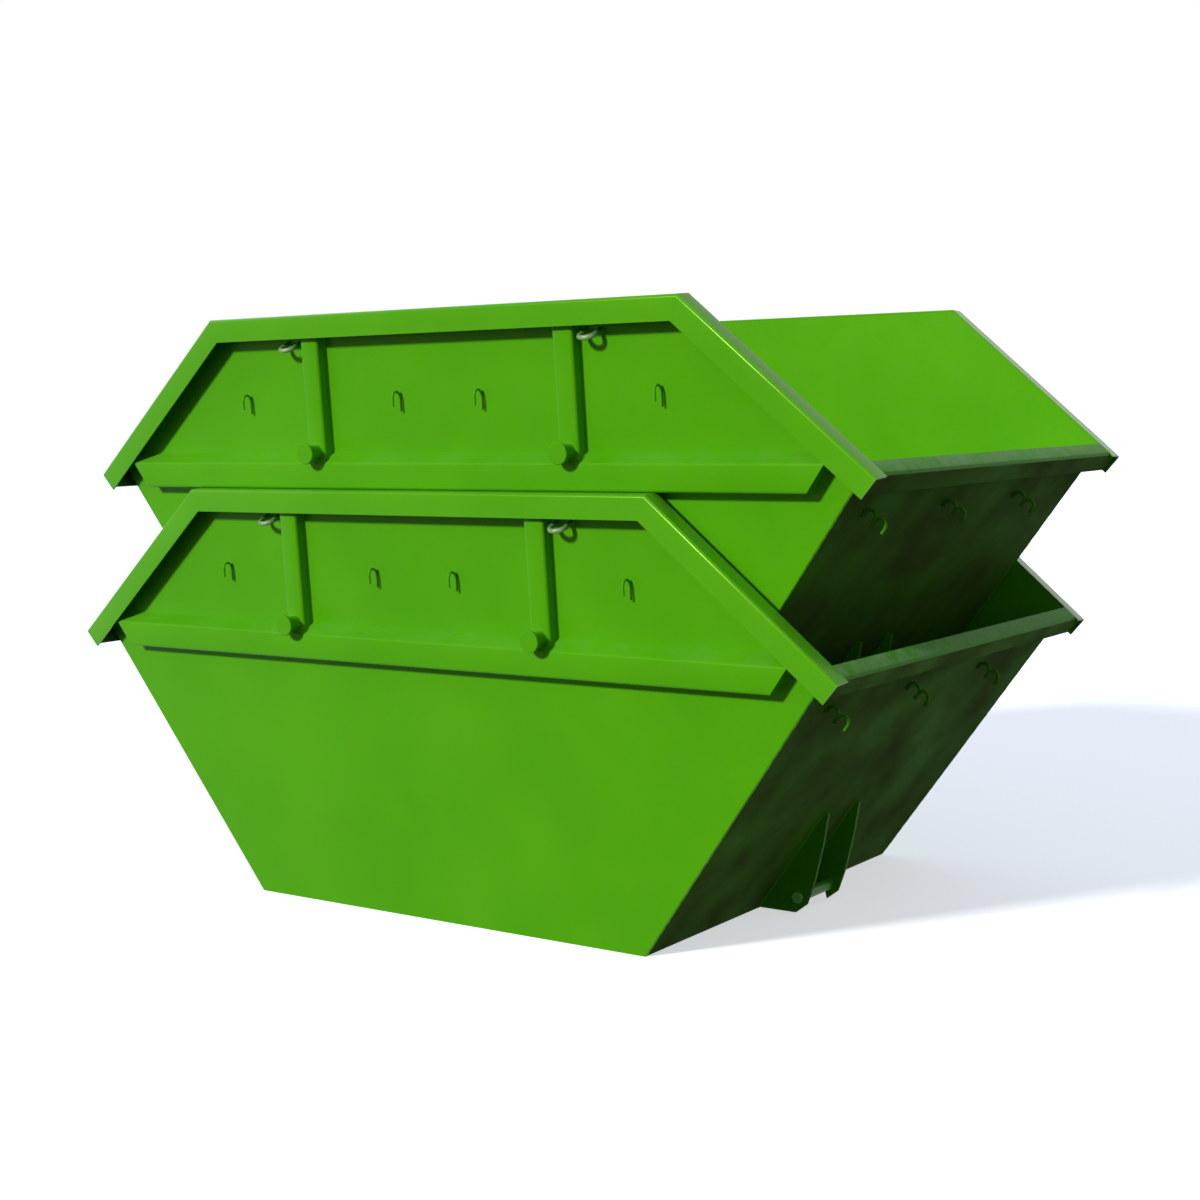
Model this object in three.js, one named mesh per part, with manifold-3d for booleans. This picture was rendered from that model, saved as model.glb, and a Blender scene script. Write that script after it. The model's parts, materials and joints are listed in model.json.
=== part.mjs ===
// Two open steel skips for a skip loader, one nested in the other.
// Millimetres, +Z up, X along the skips' length, the front side towards -Y.
// The origin is on the ground, midway between the two skips.
import * as THREE from "three";
import { mergeVertices } from "three/addons/utils/BufferGeometryUtils.js";
import Module from "manifold-3d";

const wasm = await Module();
wasm.setup();

// Body of one skip
const height = 1415;
const floorLength = 1606;
const floorWidth = 1574;
const topLength = 1860;
const sideFlare = 93;
const endLean = THREE.MathUtils.degToRad(36.1);
const railSlope = THREE.MathUtils.degToRad(40.6);

// Sheets
const floorSheet = 5;
const wallSheet = 4;
const foldSheet = 5;
const bendRadius = 5;

// Folded angles round the top
const railFlange = 60;
const railWeb = 75;
const rimFlange = 50;
const rimWeb = 75;
const railOverhang = 10;

// Waist belt
const beltHeight = 852;
const beltFace = 85;
const beltSlope = 30;
const beltBearing = 14;
const beltSetback = 115;

// Posts
const postWidth = 75;
const postReach = 38;
const postSpacing = 1016;

// Trunnions on the posts
const trunnionLift = 34;
const stubDiameter = 50;
const stubLength = 46;
const discDiameter = 68;
const discThickness = 12;
const discEdge = 2;

// Lifting eyes under the top rails
const eyeDrop = 90;
const eyeOffset = 92;
const eyeBar = 16;
const eyeSpan = 52;
const eyeReach = 62;
const eyeTilt = THREE.MathUtils.degToRad(20);

// Net hooks on the side walls: one arched rod each, with its long leg on the sheet
const sideHookRod = 8;
const sideHookArch = 34;
const sideHookLegs = [44, 30];
const sideHookDrop = 271;
const innerHookSpacing = 330;
const outerHookSpacing = 1648;

// Double net hooks on the end walls: two arched rods each, one behind the other
const endHookRod = 11;
const endHookArch = 38;
const endHookLegs = [14, 22, 18];
const endHookDrop = 145;
const endHookSpacing = 522;
const endHookShift = -165;

// Tipping brackets, measured from the foot of the end wall
const cheekSheet = 12;
const cheekSpacing = 212;
const cheekTop = 345;
const cheekTopLedge = 14;
const cheekLift = 4;
const cheekToe = 142;
const cheekNose = 182;
const cheekNoseHeight = 34;
const cheekShoulder = 214;
const cheekShoulderHeight = 118;
const cheekWaist = 248;
const cheekWaistHeight = 249;
const clawThroat = 136;
const clawThroatHeight = 30;
const tippingBar = 40;
const tippingBarReach = 149;
const tippingBarHeight = 56;
const tippingBarLength = 236;
const barEdge = 3;

// Where one skip sits in the other
const nestShift = 122;
const seatGap = 0.3;

// Fits, overruns and facets
const weldGap = 0.3;
const barClearance = 0.7;
const hookBite = 1;
const overrun = 20;
const roundSides = 24;
const bendSteps = 3;
const rodSides = 8;
const eyeSides = 8;
const hookArcSteps = 4;
const sideHookSteps = 12;
const endHookSteps = 8;
const eyeArcSteps = 8;
const eyeSteps = 14;

// Worked out from the sizes above
const sideLean = Math.atan(sideFlare / height);
const up = (z) => z / Math.cos(sideLean); // a height, measured along the leaning side wall
const endX = (z) => floorLength / 2 + z * Math.tan(endLean); // the end wall's outer face
const endInset = wallSheet / Math.cos(endLean);
const topWidth = floorWidth + 2 * sideFlare;
const nestRise = up(height) - up(beltHeight) + seatGap; // between two nested skips, along the wall
const nestLift = nestRise / Math.cos(sideLean);
const beltReach = nestRise * Math.tan(sideLean) + beltBearing;
const trunnionHeight = beltHeight + beltFace + trunnionLift;

const paint = new THREE.MeshStandardMaterial({
  color: 0x4fa30c,
  roughness: 0.5,
  metalness: 0,
});
const floorPaint = new THREE.MeshStandardMaterial({
  color: 0x2f5a14,
  roughness: 0.75,
  metalness: 0,
});
const wornSteel = new THREE.MeshStandardMaterial({
  color: 0x6e7a5c,
  roughness: 0.55,
  metalness: 0.5,
});

// A closed geometry as a solid, turned outwards where its faces point in
function solidOf(geometry) {
  const bare = geometry.index ? geometry.toNonIndexed() : geometry.clone();
  bare.deleteAttribute("normal");
  bare.deleteAttribute("uv");
  const merged = mergeVertices(bare, 1e-3);
  const make = (triVerts) =>
    new wasm.Manifold(
      new wasm.Mesh({
        numProp: 3,
        vertProperties: merged.attributes.position.array,
        triVerts,
      }),
    );
  const corners = new Uint32Array(merged.index.array);
  const made = make(corners);
  return made.volume() < 0 ? make(corners.reverse()) : made;
}

function geometryOf(solid) {
  const mesh = solid.getMesh();
  const geometry = new THREE.BufferGeometry();
  geometry.setAttribute("position", new THREE.BufferAttribute(mesh.vertProperties, 3));
  geometry.setIndex(new THREE.BufferAttribute(mesh.triVerts, 1));
  geometry.computeVertexNormals();
  return geometry;
}

const cut = (body, tool) => geometryOf(solidOf(body).subtract(solidOf(tool)));
const keepInside = (body, space) => geometryOf(solidOf(body).intersect(solidOf(space)));
const join = (bodies) => geometryOf(bodies.map(solidOf).reduce((all, one) => all.add(one)));

const outline = (points) => new THREE.Shape(points.map(([x, y]) => new THREE.Vector2(x, y)));

const extrude = (shape, depth) =>
  new THREE.ExtrudeGeometry(shape, { depth, bevelEnabled: false, curveSegments: roundSides / 2 });

// A section drawn in Y and Z, run along X and centred there
const alongX = (shape, length) =>
  extrude(shape, length)
    .rotateX(Math.PI / 2)
    .rotateZ(Math.PI / 2)
    .translate(-length / 2, 0, 0);

// A section drawn in X and Z, run along Y and centred there
const alongY = (shape, length) =>
  extrude(shape, length)
    .rotateX(Math.PI / 2)
    .translate(0, length / 2, 0);

// The point where the line through a and b meets the line through c and d
function meet(a, b, c, d) {
  const [ux, uy] = [b[0] - a[0], b[1] - a[1]];
  const [vx, vy] = [d[0] - c[0], d[1] - c[1]];
  const t = ((c[0] - a[0]) * vy - (c[1] - a[1]) * vx) / (ux * vy - uy * vx);
  return [a[0] + t * ux, a[1] + t * uy];
}

const mirrored = ([x, y]) => [-x, y];

// A line drawn from left to right, moved by a distance to its right, with mitred corners
function parallel(line, distance) {
  const shifted = line.slice(1).map((b, i) => {
    const a = line[i];
    const length = Math.hypot(b[0] - a[0], b[1] - a[1]);
    const step = [((b[1] - a[1]) / length) * distance, ((a[0] - b[0]) / length) * distance];
    return [a, b].map(([x, y]) => [x + step[0], y + step[1]]);
  });
  const corners = shifted.slice(1).map((next, i) => meet(...shifted[i], ...next));
  return [shifted[0][0], ...corners, shifted.at(-1)[1]];
}

// A line with each of its corners rounded to a radius
function rounded(line, radius) {
  const points = line.map(([x, y]) => new THREE.Vector2(x, y));
  const bends = points.slice(1, -1).flatMap((corner, i) => {
    const toStart = points[i].clone().sub(corner).normalize();
    const toEnd = points[i + 2].clone().sub(corner).normalize();
    const turn = Math.PI - toStart.angleTo(toEnd);
    const hand = Math.sign(toEnd.cross(toStart));
    const start = corner.clone().addScaledVector(toStart, radius * Math.tan(turn / 2));
    const across = new THREE.Vector2(toStart.y, -toStart.x).multiplyScalar(hand * radius);
    const centre = start.clone().add(across);
    return Array.from({ length: bendSteps + 1 }, (_, step) =>
      start
        .clone()
        .rotateAround(centre, (hand * turn * step) / bendSteps)
        .toArray(),
    );
  });
  return [line[0], ...bends, line.at(-1)];
}

// The section of a sheet folded to the right along a line, which is its outer face
function foldedSection(line) {
  const outer = rounded(line, bendRadius + foldSheet);
  const inner = rounded(parallel(line, foldSheet), bendRadius);
  return [...outer, ...inner.reverse()];
}

// A section, given as depth below a line and distance out of its plane, mitred along that line
function mitredSweep(line, section) {
  const vectors = section.map(([x, y]) => new THREE.Vector2(x, y));
  if (THREE.ShapeUtils.isClockWise(vectors)) {
    vectors.reverse();
  }
  const tracks = vectors.map(({ x, y }) => parallel(line, x).map((point) => [...point, y]));
  const last = line.length - 1;
  const corners = [];
  tracks.forEach((track, i) => {
    const next = tracks[(i + 1) % tracks.length];
    for (let k = 0; k < last; k++) {
      corners.push(track[k], next[k], next[k + 1], track[k], next[k + 1], track[k + 1]);
    }
  });
  for (const [a, b, c] of THREE.ShapeUtils.triangulateShape(vectors, [])) {
    corners.push(tracks[a][0], tracks[c][0], tracks[b][0]);
    corners.push(tracks[a][last], tracks[b][last], tracks[c][last]);
  }
  const geometry = new THREE.BufferGeometry();
  geometry.setAttribute("position", new THREE.Float32BufferAttribute(corners.flat(), 3));
  return geometryOf(solidOf(geometry));
}

// A round bar along a smooth path
function bentBar(points, diameter, sides, steps) {
  const path = new THREE.CatmullRomCurve3(points.map((p) => new THREE.Vector3(...p)));
  const corner = (_, i) => {
    const angle = (i * 2 * Math.PI) / sides;
    return [(Math.cos(angle) * diameter) / 2, (Math.sin(angle) * diameter) / 2];
  };
  const section = outline(Array.from({ length: sides }, corner));
  return new THREE.ExtrudeGeometry(section, { steps, extrudePath: path, bevelEnabled: false });
}

// A net hook: rods arched square out of the sheet one after the other, above legs of given lengths
function netHook(rod, arch, legs, steps) {
  const start = rod / 2 - hookBite;
  const arches = legs.slice(1).map((leg, i) => {
    const centre = start + (i + 0.5) * arch;
    const points = [
      [0, -legs[i], centre - arch / 2],
      [0, -legs[i] / 2, centre - arch / 2],
    ];
    for (let k = 0; k <= hookArcSteps; k++) {
      const angle = Math.PI * (1 - k / hookArcSteps);
      points.push([0, (Math.sin(angle) * arch) / 2, centre + (Math.cos(angle) * arch) / 2]);
    }
    points.push([0, -leg / 2, centre + arch / 2], [0, -leg, centre + arch / 2]);
    return bentBar(points, rod, rodSides, steps);
  });
  return join(arches);
}

// The end wall's two faces in X and Z, and the rails' top line down to their tips past it
const outerFace = [
  [endX(0), 0],
  [endX(height), height],
];
const innerFace = outerFace.map(([x, z]) => [x - endInset, z]);
const [downX, downZ] = [Math.cos(railSlope), -Math.sin(railSlope)];
const cornerPoint = [topLength / 2, height];
const rimCorner = meet(cornerPoint, [cornerPoint[0] + downX, cornerPoint[1] + downZ], ...outerFace);

// A point down the slope from the end wall's outer face, at a depth below the slope line
const onSlope = (run, depth) => [
  rimCorner[0] + run * downX + depth * downZ,
  rimCorner[1] + run * downZ - depth * downX,
];
const tipPoint = onSlope(rimFlange + railOverhang, 0);

// The space between both sides' planes at a distance out of the side walls, as a prism along X
function betweenSides(out) {
  const half = (z) => floorWidth / 2 + z * Math.tan(sideLean) + out / Math.cos(sideLean);
  const [low, high] = [-overrun, height + overrun];
  const right = [
    [half(low), low],
    [half(high), high],
  ];
  const length = 2 * (tipPoint[0] + overrun);
  return alongX(outline([...right, ...right.map(mirrored).reverse()]), length);
}

// The rails' top line in the side wall's own plane: X along the skip, Y up the sheet
const rightRail = [cornerPoint, tipPoint].map(([x, z]) => [x, up(z)]);
const railLine = [...rightRail.map(mirrored).reverse(), ...rightRail];

// Pieces in the side wall's frame: X along the skip, Y up the sheet, Z out of it

function sideWall() {
  const under = parallel(railLine, foldSheet + weldGap);
  const foot = [floorLength / 2, 0];
  const shoulder = meet(foot, [endX(height), up(height)], under[2], under[3]);
  const right = [foot, shoulder, under[2]];
  const sheet = extrude(outline([...right, ...right.map(mirrored).reverse()]), wallSheet);
  sheet.translate(0, 0, -wallSheet);
  const places = [-outerHookSpacing, -innerHookSpacing, innerHookSpacing, outerHookSpacing];
  const hooks = places.map((spacing) =>
    netHook(sideHookRod, sideHookArch, sideHookLegs, sideHookSteps).translate(
      spacing / 2,
      up(height - sideHookDrop),
      0,
    ),
  );
  return join([sheet, ...hooks]);
}

const topRail = () =>
  mitredSweep(
    railLine,
    foldedSection([
      [0, -wallSheet],
      [0, railFlange],
      [railWeb, railFlange],
    ]),
  );

// The height of the belt's sloping top at a distance out of the wall, measured along the wall
const beltTop = (out) =>
  up(beltHeight + beltFace + beltSlope) - (out / beltReach) * up(beltSlope);

// The belt's outer form, or its hollow set in by the sheet: its side view met by its section
function beltForm(inset, back) {
  const [low, top] = [beltHeight, beltHeight + beltFace + beltSlope];
  const end = (z) => endX(z) - beltSetback - inset / Math.cos(endLean);
  const right = [
    [end(low), up(low)],
    [end(top), up(top)],
  ];
  const side = extrude(outline([...right, ...right.map(mirrored).reverse()]), beltReach - back);
  side.translate(0, 0, back);
  const line = [
    [up(low), back],
    [up(low), beltReach],
    [beltTop(beltReach), beltReach],
    [beltTop(back), back],
  ];
  const section = outline(rounded(parallel(line, inset), bendRadius + foldSheet - inset));
  return keepInside(side, alongX(section, 2 * end(top)));
}

const belt = () => cut(beltForm(0, weldGap), beltForm(foldSheet, -overrun));

function post() {
  const half = postWidth / 2;
  const channel = foldedSection([
    [-half, weldGap],
    [-half, postReach],
    [half, postReach],
    [half, weldGap],
  ]);
  const head = up(height) - foldSheet - weldGap;
  const side = outline([
    [beltTop(postReach + overrun) + weldGap, postReach + overrun],
    [head, postReach + overrun],
    [head, -overrun],
    [beltTop(-overrun) + weldGap, -overrun],
  ]);
  return keepInside(alongY(outline(channel), 2 * head), alongX(side, 2 * postWidth));
}

function trunnion() {
  const base = postReach + weldGap;
  const neck = base + stubLength;
  const end = neck + discThickness;
  const profile = [
    [0, base],
    [stubDiameter / 2, base],
    [stubDiameter / 2, neck],
    [discDiameter / 2 - discEdge, neck],
    [discDiameter / 2, neck + discEdge],
    [discDiameter / 2, end - discEdge],
    [discDiameter / 2 - discEdge, end],
    [0, end],
  ];
  const points = profile.map(([x, y]) => new THREE.Vector2(x, y));
  return new THREE.LatheGeometry(points, roundSides).rotateX(Math.PI / 2);
}

function liftingEye() {
  const radius = eyeSpan / 2;
  const straight = eyeReach - radius;
  const flat = [
    [-radius, -overrun],
    [-radius, 0],
    [-radius, straight / 2],
  ];
  for (let i = 0; i <= eyeArcSteps; i++) {
    const angle = Math.PI * (1 - i / eyeArcSteps);
    flat.push([radius * Math.cos(angle), straight + radius * Math.sin(angle)]);
  }
  flat.push([radius, straight / 2], [radius, 0], [radius, -overrun]);
  const points = flat.map(([x, run]) => [x, -run * Math.sin(eyeTilt), run * Math.cos(eyeTilt)]);
  const wall = new THREE.BoxGeometry(2 * eyeSpan, 2 * eyeReach, eyeReach);
  wall.translate(0, 0, weldGap - eyeReach / 2);
  return cut(bentBar(points, eyeBar, eyeSides, eyeSteps), wall);
}

// Pieces in the end wall's frame: X out along the skip, Y across it, Z up

function endWall() {
  const under = parallel([cornerPoint, tipPoint], foldSheet + weldGap);
  const section = outline([
    innerFace[0],
    outerFace[0],
    meet(...outerFace, ...under),
    meet(...innerFace, ...under),
  ]);
  const sheet = keepInside(alongY(section, topWidth), betweenSides(-wallSheet - weldGap));
  const hookHeight = rimCorner[1] - endHookDrop;
  const places = [-endHookSpacing, 0, endHookSpacing].map((place) => place + endHookShift);
  const hooks = places.map((place) =>
    netHook(endHookRod, endHookArch, endHookLegs, endHookSteps)
      .rotateX(Math.PI / 2)
      .rotateZ(Math.PI / 2)
      .rotateY(endLean)
      .translate(endX(hookHeight), place, hookHeight),
  );
  return join([sheet, ...hooks]);
}

// The rim: a folded angle between the side walls, its web run on under both top rails
function endRim() {
  const angle = foldedSection([
    meet(...innerFace, cornerPoint, tipPoint),
    onSlope(rimFlange, 0),
    onSlope(rimFlange, rimWeb),
  ]);
  const underRail = foldSheet + bendRadius + railFlange * Math.sin(sideLean);
  const web = [
    onSlope(rimFlange - foldSheet, underRail),
    onSlope(rimFlange, underRail),
    onSlope(rimFlange, rimWeb),
    onSlope(rimFlange - foldSheet, rimWeb),
  ];
  const across = (shape) => alongY(outline(shape), topWidth + 2 * railFlange);
  return join([
    keepInside(across(angle), betweenSides(-wallSheet - weldGap)),
    keepInside(across(web), betweenSides(railFlange - foldSheet - weldGap)),
  ]);
}

// One cheek plate of the tipping bracket: a plain foot, or a foot cut back to a claw
function tippingCheek(claw) {
  const foot = floorLength / 2;
  const wallLine = outerFace.map(([x, z]) => [x + weldGap / Math.cos(endLean), z]);
  const level = (z) => [
    [0, z],
    [foot, z],
  ];
  const sole = claw ? clawThroatHeight : cheekLift;
  const clawEdge = claw ? [[foot + clawThroat, clawThroatHeight]] : [];
  const shape = outline([
    meet(...wallLine, ...level(sole)),
    ...clawEdge,
    [foot + cheekToe, cheekLift],
    [foot + cheekNose, cheekNoseHeight],
    [foot + cheekShoulder, cheekShoulderHeight],
    [foot + cheekWaist, cheekWaistHeight],
    [meet(...wallLine, ...level(cheekTop))[0] + cheekTopLedge, cheekTop],
    meet(...wallLine, ...level(cheekTop)),
  ]);
  const hole = new THREE.Path();
  const radius = tippingBar / 2 + barClearance;
  hole.absarc(foot + tippingBarReach, tippingBarHeight, radius, 0, 2 * Math.PI);
  shape.holes.push(hole);
  return alongY(shape, cheekSheet);
}

function tippingBarPiece() {
  const radius = tippingBar / 2;
  const half = tippingBarLength / 2;
  const profile = [
    [0, -half],
    [radius - barEdge, -half],
    [radius, barEdge - half],
    [radius, half - barEdge],
    [radius - barEdge, half],
    [0, half],
  ];
  const points = profile.map(([x, y]) => new THREE.Vector2(x, y));
  return new THREE.LatheGeometry(points, roundSides);
}

function floorPlate() {
  const inner = (z) => endX(z) - endInset - weldGap / Math.cos(endLean);
  const right = [
    [inner(0), 0],
    [inner(floorSheet), floorSheet],
  ];
  const section = outline([...right, ...right.map(mirrored).reverse()]);
  return keepInside(alongY(section, topWidth), betweenSides(-wallSheet - weldGap));
}

// Every shape is made once and used by all the copies of its piece
const shapes = {
  floorPlate: floorPlate(),
  sideWall: sideWall(),
  topRail: topRail(),
  belt: belt(),
  post: post(),
  trunnion: trunnion(),
  liftingEye: liftingEye(),
  endWall: endWall(),
  endRim: endRim(),
  skidCheek: tippingCheek(false),
  clawCheek: tippingCheek(true),
  tippingBar: tippingBarPiece(),
};

function piece(parent, name, geometry, material, x = 0, y = 0, z = 0) {
  const mesh = new THREE.Mesh(geometry, material);
  mesh.name = name;
  mesh.position.set(x, y, z);
  parent.add(mesh);
}

// One side, front or back: the back one is the front one turned half round
function side(skip, name) {
  const turned = name === "back";
  const half = new THREE.Group();
  half.rotation.z = turned ? Math.PI : 0;
  const frame = new THREE.Group();
  frame.rotation.x = Math.PI / 2 + sideLean;
  frame.position.y = -floorWidth / 2;
  half.add(frame);
  piece(frame, `${skip}_side_wall_${name}`, shapes.sideWall, paint);
  piece(frame, `${skip}_top_rail_${name}`, shapes.topRail, paint);
  piece(frame, `${skip}_belt_${name}`, shapes.belt, paint);
  for (const hand of [-1, 1]) {
    const word = (hand < 0) === turned ? "right" : "left";
    const x = (hand * postSpacing) / 2;
    const place = `${name}_${word}`;
    piece(frame, `${skip}_post_${place}`, shapes.post, paint, x);
    piece(frame, `${skip}_trunnion_${place}`, shapes.trunnion, paint, x, up(trunnionHeight));
    const eyeX = x + hand * eyeOffset;
    const eyeY = up(height - eyeDrop);
    piece(frame, `${skip}_lifting_eye_${place}`, shapes.liftingEye, wornSteel, eyeX, eyeY);
  }
  return half;
}

// One end, right or left: the left one is the right one turned half round
function end(skip, name) {
  const half = new THREE.Group();
  half.rotation.z = name === "left" ? Math.PI : 0;
  const cheekY = cheekSpacing / 2;
  const barX = floorLength / 2 + tippingBarReach;
  piece(half, `${skip}_end_wall_${name}`, shapes.endWall, paint);
  piece(half, `${skip}_end_rim_${name}`, shapes.endRim, paint);
  piece(half, `${skip}_tipping_cheek_${name}_skid`, shapes.skidCheek, paint, 0, -cheekY);
  piece(half, `${skip}_tipping_cheek_${name}_claw`, shapes.clawCheek, paint, 0, cheekY);
  piece(half, `${skip}_tipping_bar_${name}`, shapes.tippingBar, wornSteel, barX, 0, tippingBarHeight);
  return half;
}

function skip(name) {
  const group = new THREE.Group();
  piece(group, `${name}_floor_plate`, shapes.floorPlate, floorPaint);
  group.add(side(name, "front"), side(name, "back"), end(name, "right"), end(name, "left"));
  return group;
}

const nestedSkips = new THREE.Group();
const lower = skip("lower");
const upper = skip("upper");
lower.position.x = -nestShift / 2;
upper.position.set(nestShift / 2, 0, nestLift);
nestedSkips.add(lower, upper);

export default nestedSkips;
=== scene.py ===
"""Two nested skips for a skip loader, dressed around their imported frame.

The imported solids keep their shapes. This script smooths their folded bends and
rods, sprays them with enamel, and adds the round pieces and the weld beads that
hold each skip together. Sizes are in millimetres, and meshes come out in metres.
"""

import json
import logging
import math
import random
from dataclasses import dataclass, replace
from enum import Enum
from typing import Iterable, Iterator

import bmesh
import bpy
from mathutils import Matrix, Vector

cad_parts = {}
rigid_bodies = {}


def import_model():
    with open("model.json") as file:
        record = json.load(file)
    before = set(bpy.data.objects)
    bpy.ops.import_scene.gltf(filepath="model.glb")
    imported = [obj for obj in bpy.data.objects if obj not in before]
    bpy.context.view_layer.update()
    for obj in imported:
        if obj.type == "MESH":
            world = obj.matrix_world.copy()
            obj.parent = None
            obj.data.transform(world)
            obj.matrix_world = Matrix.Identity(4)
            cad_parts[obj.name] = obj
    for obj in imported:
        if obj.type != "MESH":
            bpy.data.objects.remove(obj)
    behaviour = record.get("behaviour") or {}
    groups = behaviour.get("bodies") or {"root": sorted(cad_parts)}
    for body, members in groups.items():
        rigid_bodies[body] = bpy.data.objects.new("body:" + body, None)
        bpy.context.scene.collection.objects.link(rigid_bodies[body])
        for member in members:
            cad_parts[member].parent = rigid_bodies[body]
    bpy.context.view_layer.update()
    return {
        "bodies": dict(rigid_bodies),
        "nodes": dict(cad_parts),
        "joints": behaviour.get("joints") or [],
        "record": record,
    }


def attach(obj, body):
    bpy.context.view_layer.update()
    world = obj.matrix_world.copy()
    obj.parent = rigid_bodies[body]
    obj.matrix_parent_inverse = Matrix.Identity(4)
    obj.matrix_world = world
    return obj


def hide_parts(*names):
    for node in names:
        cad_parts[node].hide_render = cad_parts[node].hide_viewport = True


MM = 0.001
WEAR = "wear"
WHOLE = (0.0, 1.0)
SHARP_ANGLE = math.radians(40)
Socket = bpy.types.NodeSocket
Band = tuple[float, float]
log = logging.getLogger("skips")


class Tier(Enum):
    """Which of the two nested skips."""

    LOWER = "lower"
    UPPER = "upper"

    @property
    def body(self) -> str:
        """The body of the frame that the skip's pieces ride on."""
        return f"{self.value}_skip"


class Side(Enum):
    """A long side of a skip, with its turn about the upright axis."""

    FRONT = 0
    BACK = 180

    @property
    def word(self) -> str:
        """The side's name in the frame's nodes."""
        return self.name.lower()


class End(Enum):
    """A sloping end of a skip, with its turn about the upright axis."""

    RIGHT = 0
    LEFT = 180

    @property
    def word(self) -> str:
        """The end's name in the frame's nodes."""
        return self.name.lower()


class Slot(Enum):
    """The record's material slots."""

    PAINT = "green_paint"
    FLOOR = "floor_paint"
    WORN = "worn_paint"


def linear(code: str) -> tuple[float, float, float, float]:
    """Turns an sRGB hex colour to linear.

    Args:
        code: The colour as #rrggbb.

    Returns:
        Linear red, green and blue, and a full alpha.
    """
    shares = [int(code[i : i + 2], 16) / 255 for i in (1, 3, 5)]
    curve = [s / 12.92 if s <= 0.04045 else ((s + 0.055) / 1.055) ** 2.4 for s in shares]
    return (*curve, 1.0)


def per_metre(size: float) -> float:
    """Gives the texture scale of a pattern.

    Args:
        size: The pattern's real size in millimetres.

    Returns:
        Repeats per metre of Object coordinates.
    """
    return 1 / (size * MM)


def add_node(
    tree: bpy.types.NodeTree,
    kind: str,
    values: dict | None = None,
    links: dict | None = None,
    **settings: object,
) -> bpy.types.Node:
    """Adds a node with its settings, its sockets' values and its links.

    Args:
        tree: The node tree.
        kind: The node's type name.
        values: Values by the input's name or number.
        links: Output sockets by the input's name or number.
        settings: The node's own properties.

    Returns:
        The new node.
    """
    node = tree.nodes.new(kind)
    for name, value in settings.items():
        setattr(node, name, value)
    for name, value in (values or {}).items():
        node.inputs[name].default_value = value
    for name, source in (links or {}).items():
        tree.links.new(source, node.inputs[name])
    return node


def blank_material(name: str) -> bpy.types.Material:
    """Makes a material with an empty node tree.

    Args:
        name: The material's name.

    Returns:
        The material.
    """
    material = bpy.data.materials.new(name)
    material.use_nodes = True
    material.node_tree.nodes.clear()
    return material


# Finishes


class Recipe:
    """A material in the making, with the steps that the finishes share."""

    def __init__(self, name: str) -> None:
        """Starts a material.

        Args:
            name: The material's name.
        """
        self.material = blank_material(name)
        self.tree = self.material.node_tree
        self.place = add_node(self.tree, "ShaderNodeTexCoord").outputs["Object"]

    def noise(self, size: float, detail: float, roughness: float = 0.5) -> Socket:
        """Makes a noise of a real size.

        Args:
            size: The size in millimetres.
            detail: How many finer layers it has.
            roughness: How strong the finer layers are.

        Returns:
            The noise, about a half on average.
        """
        values = {"Scale": per_metre(size), "Detail": detail, "Roughness": roughness}
        links = {"Vector": self.place}
        return add_node(self.tree, "ShaderNodeTexNoise", values, links).outputs["Fac"]

    def span(self, value: Socket, reading: Band, result: Band = WHOLE) -> Socket:
        """Maps a reading to a result, which stays inside its own band.

        Args:
            value: The value to read.
            reading: The readings that give the first and the last result.
            result: The first and the last result.

        Returns:
            The result.
        """
        names = ("From Min", "From Max", "To Min", "To Max")
        values = dict(zip(names, (*reading, *result)))
        node = add_node(self.tree, "ShaderNodeMapRange", values, {"Value": value})
        return node.outputs["Result"]

    def reckon(self, operation: str, *terms: Socket | float) -> Socket:
        """Does arithmetic with sockets and numbers.

        Args:
            operation: The operation's name.
            terms: Its terms in order.

        Returns:
            The outcome.
        """
        values = {i: term for i, term in enumerate(terms) if isinstance(term, float)}
        links = {i: term for i, term in enumerate(terms) if i not in values}
        node = add_node(self.tree, "ShaderNodeMath", values, links, operation=operation)
        return node.outputs[0]

    def lay(self, under: Socket | str, over: Socket | str, share: Socket) -> Socket:
        """Lays one colour over another.

        Args:
            under: The lower colour, as a socket or as #rrggbb.
            over: The upper colour, as a socket or as #rrggbb.
            share: How much of the upper colour shows.

        Returns:
            The mixed colour.
        """
        colours = {6: under, 7: over}
        values = {i: linear(code) for i, code in colours.items() if isinstance(code, str)}
        links = {i: source for i, source in colours.items() if i not in values}
        links[0] = share
        return add_node(self.tree, "ShaderNodeMix", values, links, data_type="RGBA").outputs[2]

    def relief(self, height: Socket, depth: float, under: Socket | None = None) -> Socket:
        """Raises a pattern off the surface.

        Args:
            height: The pattern.
            depth: Its real depth in millimetres.
            under: Another relief that it lies on.

        Returns:
            The surface's normal.
        """
        values = {"Strength": 1.0, "Distance": depth * MM}
        links = {"Height": height}
        if under is not None:
            links["Normal"] = under
        return add_node(self.tree, "ShaderNodeBump", values, links).outputs["Normal"]

    def finish(self, values: dict, links: dict) -> bpy.types.Material:
        """Ends the material with its surface.

        Args:
            values: The surface's fixed values by name.
            links: Its patterns by name.

        Returns:
            The material.
        """
        surface = add_node(self.tree, "ShaderNodeBsdfPrincipled", values, links).outputs["BSDF"]
        add_node(self.tree, "ShaderNodeOutputMaterial", links={"Surface": surface})
        return self.material


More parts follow.
